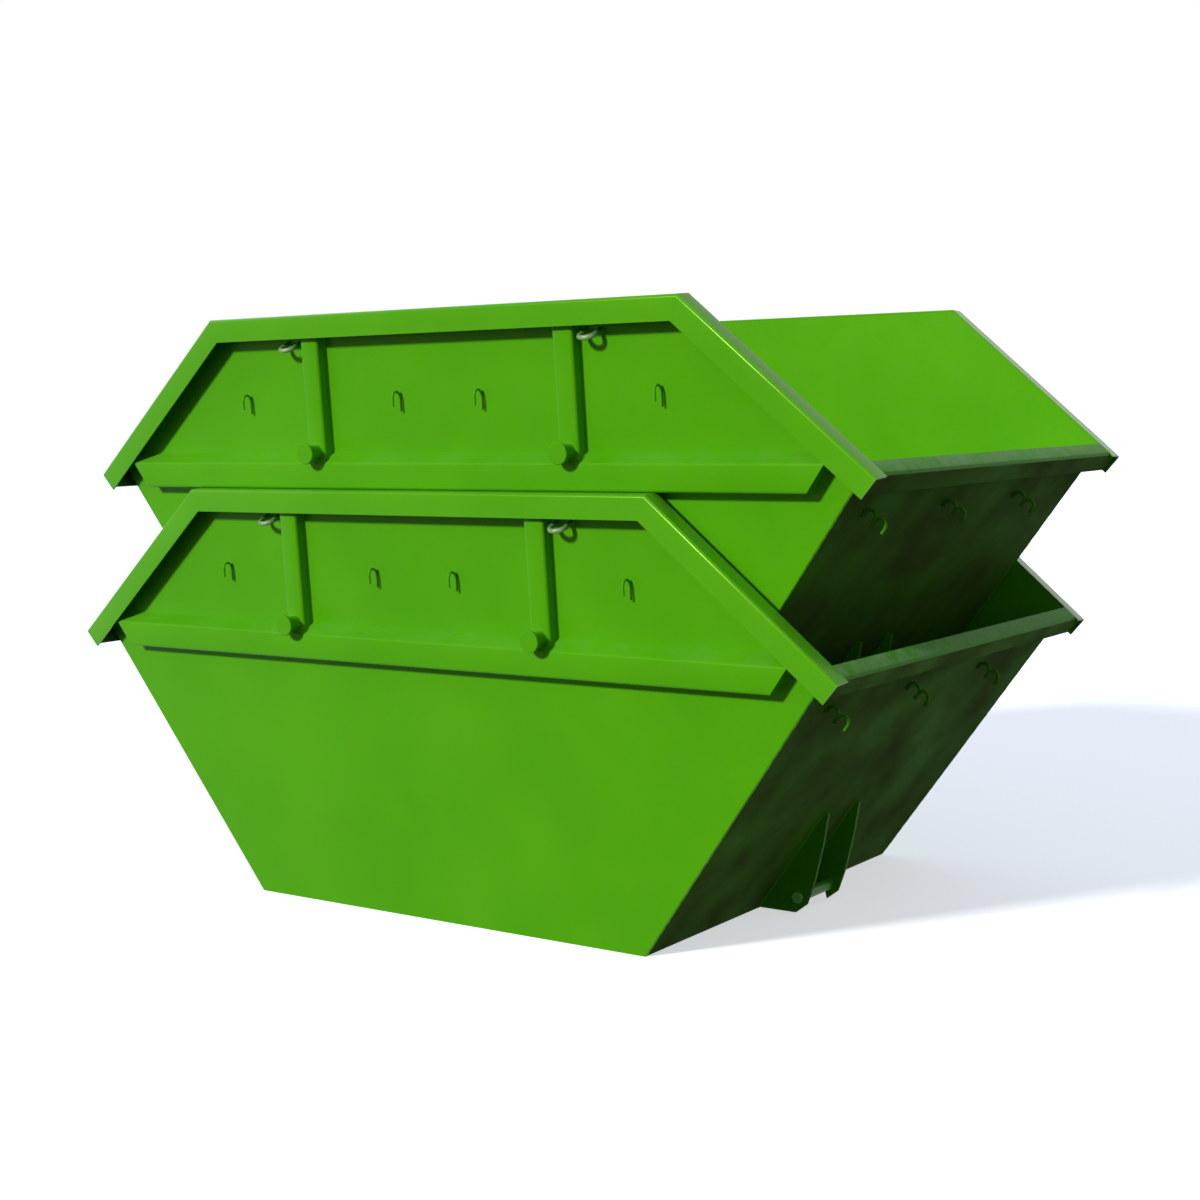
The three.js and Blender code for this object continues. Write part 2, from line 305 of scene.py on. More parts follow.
@dataclass(frozen=True)
class Enamel:
    """Alkyd enamel, sprayed over folded sheet steel and air-dried.

    It gives the eye a strong green that is a little uneven from pass to pass, the
    orange peel of a spray gun, reflections that wander with the sheet's own waves,
    a pale dusting on whatever faces up, thick on the rims where it is also a painted
    pale sky sheen, and on what overhangs a dark brown muddy film that is partly real
    and partly painted shade.
    A facing is the share of a face's normal that points up: 1 for a level floor.
    """

    name: str
    colour: str
    thin: str
    # Pale dusting on faces that point up; on the rims it is laid on thick as a painted pale sky
    # sheen on the upward flanges.
    dust: str = "#8f9a72"
    dust_share: float = 0.1
    dust_facings: Band = (-0.1, 0.9)
    dust_cover: Band = (0.12, 1.0)
    # Dark brown muddy film on faces that point down: partly real muddy dirt, partly painted shade
    # on what overhangs.
    splash: str = "#54492f"
    splash_share: float = 0.0
    splash_facings: Band = (-0.3, -0.55)
    splash_cover: Band = (0.6, 1.0)
    refraction: float = 1.5
    gloss: float = 0.24
    glint: str = "#b0ec58"
    roughness: float = 0.3
    dusty_roughness: float = 0.6
    pass_width: float = 420
    pass_band: Band = (0.35, 0.68)
    stain_size: float = 70
    stain_band: Band = (0.38, 0.72)
    splash_size: float = 240
    splash_band: Band = (0.3, 0.7)
    grain_size: float = 16
    grain_share: float = 0.35
    peel_size: float = 14  # real orange peel is about 3 mm: drawn coarser, so that it shows
    peel_depth: float = 0.05
    wave_size: float = 330
    wave_depth: float = 0.9

    def material(self) -> bpy.types.Material:
        """Builds the enamel.

        Returns:
            The material.
        """
        recipe = Recipe(self.name)
        passes = recipe.span(recipe.noise(self.pass_width, detail=2), self.pass_band)
        coat = recipe.lay(self.colour, self.thin, passes)
        normal = add_node(recipe.tree, "ShaderNodeNewGeometry").outputs["Normal"]
        facing = add_node(recipe.tree, "ShaderNodeSeparateXYZ", links={0: normal}).outputs["Z"]
        stains = recipe.noise(self.stain_size, detail=6, roughness=0.65)
        # Upward faces take the pale dusting, which on the rims is also a painted sky sheen.
        dust_and_sheen_mask = recipe.reckon(
            "MULTIPLY",
            recipe.span(facing, self.dust_facings, self.dust_cover),
            recipe.span(stains, self.stain_band),
        )
        # Downward faces take the dark brown film, partly muddy dirt and partly painted shade.
        mud_and_shade_mask = recipe.reckon(
            "MULTIPLY",
            recipe.span(facing, self.splash_facings),
            recipe.span(
                recipe.noise(self.splash_size, detail=4), self.splash_band, self.splash_cover
            ),
        )
        dust = recipe.reckon("MULTIPLY", dust_and_sheen_mask, self.dust_share)
        mud_and_shade_film = recipe.reckon("MULTIPLY", mud_and_shade_mask, self.splash_share)
        dust_and_sheen_coat = recipe.lay(coat, self.dust, dust)
        dirt = recipe.reckon("ADD", dust, mud_and_shade_film)
        grain = recipe.noise(self.grain_size, detail=4)
        dull = recipe.reckon("MULTIPLY_ADD", grain, self.grain_share, dirt)
        waves = recipe.relief(recipe.noise(self.wave_size, detail=1), self.wave_depth)
        peel = recipe.noise(self.peel_size, detail=2)
        return recipe.finish(
            {
                "IOR": self.refraction,
                "Metallic": 0.0,
                "Specular IOR Level": self.gloss,
                "Specular Tint": linear(self.glint),
            },
            {
                "Base Color": recipe.lay(dust_and_sheen_coat, self.splash, mud_and_shade_film),
                "Roughness": recipe.span(dull, WHOLE, (self.roughness, self.dusty_roughness)),
                "Normal": recipe.relief(peel, self.peel_depth, waves),
            },
        )


@dataclass(frozen=True)
class RubbedSteel:
    """Hot-rolled mild steel bar, painted with the skip and rubbed bare by hooks and chains.

    It gives the eye greenish grey metal with a dull shine where the piece is handled,
    ragged edges of green enamel round it, and brown specks where rust has started.
    """

    name: str
    paint: str
    steel: str = "#7a9a62"
    rust: str = "#6d4a2c"
    paint_roughness: float = 0.42
    steel_roughness: float = 0.5
    patch_size: float = 16
    speck_size: float = 6
    speck_band: Band = (0.58, 0.7)
    bare_band: Band = (0.8, 0.95)
    metal_share: float = 0.35
    scratch_depth: float = 0.3

    def material(self) -> bpy.types.Material:
        """Builds the rubbed steel, which reads each piece's wear attribute.

        Returns:
            The material.
        """
        recipe = Recipe(self.name)
        wear = add_node(recipe.tree, "ShaderNodeAttribute", attribute_name=WEAR).outputs["Fac"]
        patches = recipe.noise(self.patch_size, detail=5)
        bare = recipe.span(recipe.reckon("ADD", wear, patches), self.bare_band)
        specks = recipe.span(recipe.noise(self.speck_size, detail=3), self.speck_band)
        metal = recipe.lay(self.steel, self.rust, specks)
        roughness = (self.paint_roughness, self.steel_roughness)
        return recipe.finish(
            {},
            {
                "Base Color": recipe.lay(self.paint, metal, bare),
                "Metallic": recipe.reckon("MULTIPLY", bare, self.metal_share),
                "Roughness": recipe.span(bare, WHOLE, roughness),
                "Normal": recipe.relief(patches, self.scratch_depth),
            },
        )


@dataclass(frozen=True)
class Finishes:
    """The materials of the skips: one for each record slot, and some forms' own paints."""

    sheet: bpy.types.Material
    rails: bpy.types.Material
    ends: bpy.types.Material
    rims: bpy.types.Material
    floor: bpy.types.Material
    rubbed: bpy.types.Material

    def of(self, slot: Slot) -> bpy.types.Material:
        """Gives the material that a slot stands for.

        Args:
            slot: The slot.

        Returns:
            The material.
        """
        return {Slot.PAINT: self.sheet, Slot.FLOOR: self.floor, Slot.WORN: self.rubbed}[slot]

    def of_node(self, name: str) -> bpy.types.Material:
        """Gives the material of one of the frame's nodes.

        Args:
            name: The node's name.

        Returns:
            The material.
        """
        forms = {
            "floor_plate": self.of(Slot.FLOOR),
            "tipping_bar": self.of(Slot.WORN),
            "tipping_cheek": self.ends,
            "top_rail": self.rails,
            "end_rim": self.rims,
            "end_wall": self.ends,
        }
        found = (material for form, material in forms.items() if form in name)
        return next(found, self.of(Slot.PAINT))


def spray() -> Finishes:
    """Makes the finishes.

    Returns:
        The finishes.
    """
    sheet = Enamel("green_enamel_on_sheet", colour="#4b9e06", thin="#51a408")
    rails = replace(
        sheet,
        name="glossy_enamel_on_rails",
        gloss=0.4,
        glint="#b8ee5c",
        roughness=0.18,
        dusty_roughness=0.4,
        peel_depth=0.02,
    )
    # On the end walls' overhanging faces the dark brown film is partly muddy dirt and partly
    # painted shade.
    ends = Enamel(
        "splashed_enamel_on_ends",
        colour="#449508",
        thin="#4da00a",
        dust="#c3cda8",
        splash="#433a25",
        splash_share=0.8,
        gloss=0.06,
        dusty_roughness=0.9,
    )
    # The rims' heavy pale dusting on their upward flanges is partly real and partly a painted
    # pale sky sheen.
    rims = replace(ends, name="dusty_enamel_on_rims", dust_share=0.5)
    floor = Enamel(
        "dusty_enamel_on_floor",
        colour="#35701a",
        thin="#4a7d2b",
        dust="#8d8468",
        dust_share=0.75,
        roughness=0.5,
        dusty_roughness=0.85,
    )
    rubbed = RubbedSteel("rubbed_enamel_on_bar", paint="#3f8a10")
    coats = (sheet, rails, ends, rims, floor, rubbed)
    return Finishes(*(coat.material() for coat in coats))


# Sizes


@dataclass(frozen=True)
class SkipSizes:
    """Sizes of one skip and of the nest, in millimetres, as the frame has them."""

    height: float = 1415
    floor_length: float = 1606
    floor_width: float = 1574
    top_length: float = 1860
    side_flare: float = 93
    end_lean: float = math.radians(36.1)
    rail_slope: float = math.radians(40.6)
    floor_sheet: float = 5
    wall_sheet: float = 4
    fold_sheet: float = 5
    belt_height: float = 852
    belt_face: float = 85
    belt_slope: float = 30
    belt_bearing: float = 14
    belt_setback: float = 115
    post_width: float = 75
    post_reach: float = 38
    post_spacing: float = 1016
    trunnion_lift: float = 34
    stub: float = 50
    eye_drop: float = 90
    eye_offset: float = 92
    eye_bar: float = 16
    eye_span: float = 52
    cheek_spacing: float = 212
    cheek_sheet: float = 12
    cheek_top: float = 345
    tipping_bar: float = 40
    tipping_bar_reach: float = 149
    tipping_bar_height: float = 56
    nest_shift: float = 122
    seat_gap: float = 0.3

    @property
    def lean(self) -> float:
        """The side walls' lean from upright."""
        return math.atan(self.side_flare / self.height)

    def up(self, z: float) -> float:
        """Measures a height along the leaning side wall.

        Args:
            z: The height.

        Returns:
            The length along the wall.
        """
        return z / math.cos(self.lean)

    def end_x(self, z: float) -> float:
        """Gives the end wall's outer face at a height.

        Args:
            z: The height.

        Returns:
            The distance from the skip's middle.
        """
        return self.floor_length / 2 + z * math.tan(self.end_lean)

    def inner_x(self, z: float) -> float:
        """Gives the end wall's inner face at a height.

        Args:
            z: The height.

        Returns:
            The distance from the skip's middle.
        """
        return self.end_x(z) - self.wall_sheet / math.cos(self.end_lean)

    def inner_y(self, z: float) -> float:
        """Gives the side wall's inner face at a height.

        Args:
            z: The height.

        Returns:
            The distance from the skip's middle.
        """
        outside = self.floor_width / 2 + z * math.tan(self.lean)
        return outside - self.wall_sheet / math.cos(self.lean)

    @property
    def nest_rise(self) -> float:
        """From one nested skip to the next, along the side wall."""
        return self.up(self.height) - self.up(self.belt_height) + self.seat_gap

    @property
    def belt_reach(self) -> float:
        """How far the belt stands out of the side wall."""
        return self.nest_rise * math.tan(self.lean) + self.belt_bearing

    def belt_top(self, out: float) -> float:
        """Gives the belt's sloping top, measured along the wall.

        Args:
            out: The distance out of the wall.

        Returns:
            The length along the wall.
        """
        top = self.up(self.belt_height + self.belt_face + self.belt_slope)
        return top - out / self.belt_reach * self.up(self.belt_slope)

    @property
    def rim_corner(self) -> tuple[float, float]:
        """Where the rails' sloping top line meets the end wall's outer face."""
        drop = math.tan(self.rail_slope)
        run = math.tan(self.end_lean)
        x = (self.floor_length / 2 + (self.height + self.top_length / 2 * drop) * run) / (
            1 + drop * run
        )
        return x, self.height - (x - self.top_length / 2) * drop

    def on_slope(self, run: float, depth: float) -> tuple[float, float]:
        """Gives a point by the rails' sloping top line.

        Args:
            run: How far it is down the slope from the end wall's outer face.
            depth: How far it is below the line, square to it.

        Returns:
            The point's X and Z.
        """
        x, z = self.rim_corner
        down_x, down_z = math.cos(self.rail_slope), -math.sin(self.rail_slope)
        return x + run * down_x + depth * down_z, z + run * down_z - depth * down_x

    @property
    def trunnion_height(self) -> float:
        """The trunnions' height up the side wall."""
        return self.up(self.belt_height + self.belt_face + self.trunnion_lift)

    def skip_frame(self, tier: Tier) -> Matrix:
        """Gives the place of a skip.

        Args:
            tier: The skip.

        Returns:
            From the skip's own millimetres to metres.
        """
        if tier is Tier.LOWER:
            move = Vector((-self.nest_shift / 2, 0, 0))
        else:
            lift = self.nest_rise / math.cos(self.lean)
            move = Vector((self.nest_shift / 2, 0, lift))
        return Matrix.Scale(MM, 4) @ Matrix.Translation(move)

    def end_frame(self, tier: Tier, end: End) -> Matrix:
        """Gives an end's frame: X out along the skip, Y across it, Z up.

        Args:
            tier: The skip.
            end: The end.

        Returns:
            From the end's own millimetres to metres.
        """
        return self.skip_frame(tier) @ Matrix.Rotation(math.radians(end.value), 4, "Z")

    def side_frame(self, tier: Tier, side: Side) -> Matrix:
        """Gives a side wall's frame: X along the skip, Y up the sheet, Z out of it.

        Args:
            tier: The skip.
            side: The side.

        Returns:
            From the side's own millimetres to metres.
        """
        turned = self.skip_frame(tier) @ Matrix.Rotation(math.radians(side.value), 4, "Z")
        wall = Matrix.Translation((0, -self.floor_width / 2, 0))
        return turned @ wall @ Matrix.Rotation(math.pi / 2 + self.lean, 4, "X")


def places(side: Side) -> Iterator[tuple[int, str]]:
    """The two hands of a side with the words that its nodes have.

    Args:
        side: The side.

    Yields:
        The hand as -1 or 1 in the side's own frame, and its word.
    """
    for hand in (-1, 1):
        yield hand, "left" if (hand < 0) is (side is Side.FRONT) else "right"


def finish_piece(
    shape: bmesh.types.BMesh,
    name: str,
    frame: Matrix,
    tier: Tier,
    slot: Slot,
    finishes: Finishes,
    replaced: Iterable[str] = (),
) -> bpy.types.Object:
    """Turns a shape in millimetres into a piece of the scene that rides on its skip.

    Args:
        shape: The bmesh, which is freed.
        name: The piece's name.
        frame: From the shape's own frame to metres.
        tier: The skip that it belongs to.
        slot: Its material slot.
        finishes: The materials.
        replaced: The frame's nodes that it stands for.

    Returns:
        The piece.
    """
    bmesh.ops.transform(shape, matrix=frame, verts=shape.verts)
    bmesh.ops.recalc_face_normals(shape, faces=shape.faces)
    mesh = bpy.data.meshes.new(name)
    shape.to_mesh(mesh)
    shape.free()
    mesh.shade_smooth()
    mesh.set_sharp_from_angle(angle=SHARP_ANGLE)
    mesh.materials.append(finishes.of(slot))
    piece = bpy.data.objects.new(name, mesh)
    bpy.context.scene.collection.objects.link(piece)
    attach(piece, tier.body)
    if replaced:
        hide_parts(*replaced)
    log.info("%s: %d faces on %s", name, len(mesh.polygons), tier.body)
    return piece


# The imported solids


@dataclass(frozen=True)
class PackedSolids:
    """The frame's own nodes, with smooth bends and rods and the skips' finishes."""

    finishes: Finishes
    weld_distance: float = 0.01
    fold_angle: float = math.radians(34)

    def smoothing(self) -> bpy.types.NodeTree:
        """Builds the modifier that merges loose triangles and smooths across small angles.

        Returns:
            The geometry node group.
        """
        tree = bpy.data.node_groups.new("smooth_bends", "GeometryNodeTree")
        tree.is_modifier = True
        for way in ("INPUT", "OUTPUT"):
            tree.interface.new_socket("Geometry", in_out=way, socket_type="NodeSocketGeometry")
        loose = add_node(tree, "NodeGroupInput").outputs[0]
        bare = add_node(
            tree, "GeometryNodeRemoveAttribute", {"Name": "custom_normal"}, {"Geometry": loose}
        ).outputs[0]
        merged = add_node(
            tree,
            "GeometryNodeMergeByDistance",
            {"Distance": self.weld_distance * MM},
            {"Geometry": bare},
        ).outputs[0]
        smooth = add_node(
            tree,
            "GeometryNodeSetShadeSmooth",
            {"Shade Smooth": True},
            {0: merged},
            domain="FACE",
        ).outputs[0]
        angle = add_node(tree, "GeometryNodeInputMeshEdgeAngle").outputs["Unsigned Angle"]
        folded = add_node(
            tree,
            "FunctionNodeCompare",
            {1: self.fold_angle},
            {0: angle},
            data_type="FLOAT",
            operation="GREATER_THAN",
        ).outputs[0]
        sharp = add_node(
            tree,
            "GeometryNodeSetShadeSmooth",
            {"Shade Smooth": False},
            {0: smooth, "Selection": folded},
            domain="EDGE",
        ).outputs[0]
        add_node(tree, "NodeGroupOutput", links={0: sharp})
        return tree

    def dress(self, nodes: dict[str, bpy.types.Object]) -> None:
        """Smooths and paints every node.

        Args:
            nodes: The frame's nodes by name.
        """
        smoothing = self.smoothing()
        for name, node in sorted(nodes.items()):
            modifier = node.modifiers.new("smooth_bends", "NODES")
            modifier.node_group = smoothing
            material = self.finishes.of_node(name)
            if not node.material_slots:
                node.data.materials.append(material)
            for material_slot in node.material_slots:
                material_slot.material = material
            log.info("%s: %s", name, material.name)


# Round pieces


@dataclass(frozen=True)
class LiftingEyes:
    """Bent round bars under the top rails, which the crane's chains are hooked to."""

    sizes: SkipSizes
    finishes: Finishes
    reach: float = 62
    tilt: float = math.radians(20)
    sunk: float = 2
    sides: int = 24
    arc_steps: int = 16

    @property
    def radius(self) -> float:
        """The bend's radius, to the middle of the bar."""
        return self.sizes.eye_span / 2

    @property
    def straight(self) -> float:
        """The straight part of each leg."""
        return self.reach - self.radius

    def eye(self) -> bmesh.types.BMesh:
        """Bends one bar: X across, Z along the legs, with its wear attribute.

        Returns:
            The shape in millimetres, with its feet at the wall.
        """
        shape = bmesh.new()
        start = Matrix.Translation((-self.radius, 0, -self.sunk))
        bmesh.ops.create_circle(
            shape, cap_ends=True, segments=self.sides, radius=self.sizes.eye_bar / 2, matrix=start
        )
        foot = list(shape.faces)
        leg = Vector((0, 0, self.straight + self.sunk))
        tip = self.draw_out(shape, foot, leg)
        turned = bmesh.ops.spin(
            shape,
            geom=tip,
            cent=(0, 0, self.straight),
            axis=(0, 1, 0),
            angle=math.pi,
            steps=self.arc_steps,
        )
        end = [item for item in turned["geom_last"] if isinstance(item, bmesh.types.BMFace)]
        self.draw_out(shape, end, -leg)
        layer = shape.verts.layers.float.new(WEAR)
        for vert in shape.verts:
            run = max(0.0, vert.co.z - self.straight / 2)
            vert[layer] = min(1.0, run / (self.reach - self.straight / 2))
        return shape

    def draw_out(
        self, shape: bmesh.types.BMesh, faces: list[bmesh.types.BMFace], way: Vector
    ) -> list[bmesh.types.BMFace]:
        """Extrudes a bar's end face.

        Args:
            shape: The shape.
            faces: The end face.
            way: How far and where to.

        Returns:
            The new end face.
        """
        grown = bmesh.ops.extrude_face_region(shape, geom=faces)["geom"]
        verts = [item for item in grown if isinstance(item, bmesh.types.BMVert)]
        bmesh.ops.translate(shape, vec=way, verts=verts)
        return [item for item in grown if isinstance(item, bmesh.types.BMFace)]

    def place(self, hand: int) -> Matrix:
        """Gives an eye's place in its side's frame.

        Args:
            hand: The side's hand, -1 or 1.

        Returns:
            From the eye's own frame to the side's.
        """
        sizes = self.sizes
        x = hand * (sizes.post_spacing / 2 + sizes.eye_offset)
        move = Matrix.Translation((x, sizes.up(sizes.height - sizes.eye_drop), 0))
        return move @ Matrix.Rotation(self.tilt, 4, "X")

    def build(self) -> None:
        """Makes the eyes of both skips in place of the frame's."""
        for tier in Tier:
            for side in Side:
                frame = self.sizes.side_frame(tier, side)
                for hand, word in places(side):
                    node = f"{tier.value}_lifting_eye_{side.word}_{word}"
                    finish_piece(
                        self.eye(),
                        f"{tier.value}_bent_eye_{side.word}_{word}",
                        frame @ self.place(hand),
                        tier,
                        Slot.WORN,
                        self.finishes,
                        [node],
                    )


@dataclass(frozen=True)
class Trunnions:
    """Stubs with a retaining disc on the posts' feet, which the loader's chains hold."""

    sizes: SkipSizes
    finishes: Finishes
    stub_length: float = 46
    disc: float = 68
    disc_thickness: float = 12
    disc_edge: float = 2
    sides: int = 48

    def trunnion(self) -> bmesh.types.BMesh:
        """Turns one trunnion about Z.

        Returns:
            The shape in millimetres, with its foot on the post's face.
        """
        base = self.sizes.post_reach
        neck = base + self.stub_length
        end = neck + self.disc_thickness
        half = self.disc / 2
        profile = [
            (0, base),
            (self.sizes.stub / 2, base),
            (self.sizes.stub / 2, neck),
            (half - self.disc_edge, neck),
            (half, neck + self.disc_edge),
            (half, end - self.disc_edge),
            (half - self.disc_edge, end),
            (0, end),
        ]
        shape = bmesh.new()
        verts = [shape.verts.new((x, 0, z)) for x, z in profile]
        for low, high in zip(verts, verts[1:]):
            shape.edges.new((low, high))
        bmesh.ops.spin(
            shape,
            geom=list(shape.verts) + list(shape.edges),
            cent=(0, 0, 0),
            axis=(0, 0, 1),
            angle=2 * math.pi,
            steps=self.sides,
            use_merge=True,
        )
        bmesh.ops.remove_doubles(shape, verts=shape.verts, dist=MM)
        return shape

    def build(self) -> None:
        """Makes the trunnions of both skips in place of the frame's."""
        for tier in Tier:
            for side in Side:
                frame = self.sizes.side_frame(tier, side)
                for hand, word in places(side):
                    place = Matrix.Translation(
                        (hand * self.sizes.post_spacing / 2, self.sizes.trunnion_height, 0)
                    )
                    node = f"{tier.value}_trunnion_{side.word}_{word}"
                    finish_piece(
                        self.trunnion(),
                        f"{tier.value}_turned_trunnion_{side.word}_{word}",
                        frame @ place,
                        tier,
                        Slot.PAINT,
                        self.finishes,
                        [node],
                    )


# Welds


@dataclass(frozen=True)
class WeldBeads:
    """Fillet welds along the seams of each skip, painted over with it.

    They give the eye the thin rippled line of a hand-run weld wherever two sheets meet.
    """

    sizes: SkipSizes
    finishes: Finishes
    radius: float = 2.6
    step: float = 12
    ripple: float = 0.2
    ring_points: int = 20
    clear: float = 4
    seed: int = 11

    def ring(self, centre: Vector, radius: float, first: Vector, second: Vector) -> list[Vector]:
        """A closed ring round a bar.

        Args:
            centre: The ring's centre.
            radius: The bar's radius.
            first: One way across the ring.
            second: The other way across it.

        Returns:
            The ring's points, the first one again at the end.
        """
        turns = [2 * math.pi * i / self.ring_points for i in range(self.ring_points + 1)]
        return [centre + radius * (math.cos(t) * first + math.sin(t) * second) for t in turns]

    def side_seams(self) -> Iterator[list[Vector]]:
        """The seams of a side, in its own frame: belt, rail, posts, trunnions and eyes.

        Yields:
            The points of one seam.
        """
        sizes = self.sizes
        across, upward = Vector((1, 0, 0)), Vector((0, 1, 0))
        low = sizes.belt_height
        top = low + sizes.belt_face + sizes.belt_slope
        low_x, top_x = (sizes.end_x(z) - sizes.belt_setback for z in (low, top))
        loop = [(-low_x, low), (low_x, low), (top_x, top), (-top_x, top), (-low_x, low)]
        yield [Vector((x, sizes.up(z), 0)) for x, z in loop]
        head = sizes.up(sizes.height) - sizes.fold_sheet
        turn = sizes.top_length / 2 - sizes.fold_sheet * math.tan(sizes.rail_slope / 2)
        tip_x, tip_z = sizes.on_slope(-2 * self.clear, sizes.fold_sheet)
        rail = [(-tip_x, sizes.up(tip_z)), (-turn, head), (turn, head), (tip_x, sizes.up(tip_z))]
        yield [Vector((*point, 0)) for point in rail]
        half, reach = sizes.post_width / 2, sizes.post_reach
        for hand in (-1, 1):
            post = hand * sizes.post_spacing / 2
            left, right = post - half, post + half
            for at_wall, at_face in (
                (sizes.belt_top(0), sizes.belt_top(reach)),
                (head, head),
            ):
                yield [
                    Vector((left, at_wall, 0)),
                    Vector((left, at_face, reach)),
                    Vector((right, at_face, reach)),
                    Vector((right, at_wall, 0)),
                ]
            for edge in (left, right):
                yield [Vector((edge, sizes.belt_top(0), 0)), Vector((edge, head, 0))]
            stub = Vector((post, sizes.trunnion_height, reach))
            yield self.ring(stub, sizes.stub / 2, across, upward)
            eye_x = post + hand * sizes.eye_offset
            eye = Vector((eye_x, sizes.up(sizes.height - sizes.eye_drop), 0))
            for leg in (-1, 1):
                foot = eye + leg * sizes.eye_span / 2 * across
                yield self.ring(foot, sizes.eye_bar / 2, across, upward)

    def end_seams(self) -> Iterator[list[Vector]]:
        """The seams of an end, in its own frame: corners, floor, rim, cheeks and bar.

        Yields:
            The points of one seam.
        """
        sizes = self.sizes
        floor = sizes.floor_sheet
        rim_x, rim_z = sizes.on_slope(0, sizes.fold_sheet)
        high = rim_z - self.clear
        rim_y = sizes.inner_y(rim_z)
        yield [Vector((rim_x, -rim_y, rim_z)), Vector((rim_x, rim_y, rim_z))]
        floor_x, floor_y = sizes.inner_x(floor), sizes.inner_y(floor)
        yield [Vector((floor_x, -floor_y, floor)), Vector((floor_x, floor_y, floor))]
        bar_x = sizes.floor_length / 2 + sizes.tipping_bar_reach
        for hand in (-1, 1):
            yield [Vector((0, hand * floor_y, floor)), Vector((floor_x, hand * floor_y, floor))]
            for face, low in ((sizes.end_x, self.clear), (sizes.inner_x, floor)):
                yield [Vector((face(z), hand * sizes.inner_y(z), z)) for z in (low, high)]
            cheek = hand * sizes.cheek_spacing / 2
            for y in (cheek - sizes.cheek_sheet / 2, cheek + sizes.cheek_sheet / 2):
                yield [
                    Vector((sizes.end_x(z), y, z)) for z in (2 * self.clear, sizes.cheek_top)
                ]
            outside = cheek + hand * sizes.cheek_sheet / 2
            centre = Vector((bar_x, outside, sizes.tipping_bar_height))
            yield self.ring(centre, sizes.tipping_bar / 2, Vector((1, 0, 0)), Vector((0, 0, 1)))

    def stepped(self, seam: list[Vector]) -> Iterator[Vector]:
        """Points along a seam, a step apart.

        Args:
            seam: The seam's corners.

        Yields:
            The points, with every corner among them.
        """
        yield seam[0]
        for start, stop in zip(seam, seam[1:]):
            count = max(1, round((stop - start).length / self.step))
            for i in range(1, count + 1):
                yield start.lerp(stop, i / count)

    def beads(self, seams: Iterable[list[Vector]]) -> bmesh.types.BMesh:
        """Runs a rippled bead along each seam.

        Args:
            seams: The seams, in millimetres.

        Returns:
            The shape.
        """
        hand = random.Random(self.seed)
        curve = bpy.data.curves.new("bead_path", "CURVE")
        curve.dimensions = "3D"
        curve.bevel_depth = self.radius
        curve.bevel_resolution = 1
        curve.use_fill_caps = True
        for seam in seams:
            points = list(self.stepped(seam))
            spline = curve.splines.new("POLY")
            spline.points.add(len(points) - 1)
            for knot, point in zip(spline.points, points):
                knot.co = (*point, 1)
                knot.radius = 1 + self.ripple * hand.uniform(-1, 1)
        path = bpy.data.objects.new("bead_path", curve)
        mesh = bpy.data.meshes.new_from_object(path)
        shape = bmesh.new()
        shape.from_mesh(mesh)
        bpy.data.objects.remove(path)
        bpy.data.curves.remove(curve)
        bpy.data.meshes.remove(mesh)
        return shape

    def build(self) -> None:
        """Welds both skips."""
        for tier in Tier:
            runs = [(s.word, self.side_seams(), self.sizes.side_frame(tier, s)) for s in Side]
            runs += [(e.word, self.end_seams(), self.sizes.end_frame(tier, e)) for e in End]
            for word, seams, frame in runs:
                name = f"{tier.value}_weld_beads_{word}"
                finish_piece(self.beads(seams), name, frame, tier, Slot.PAINT, self.finishes)


# Studio


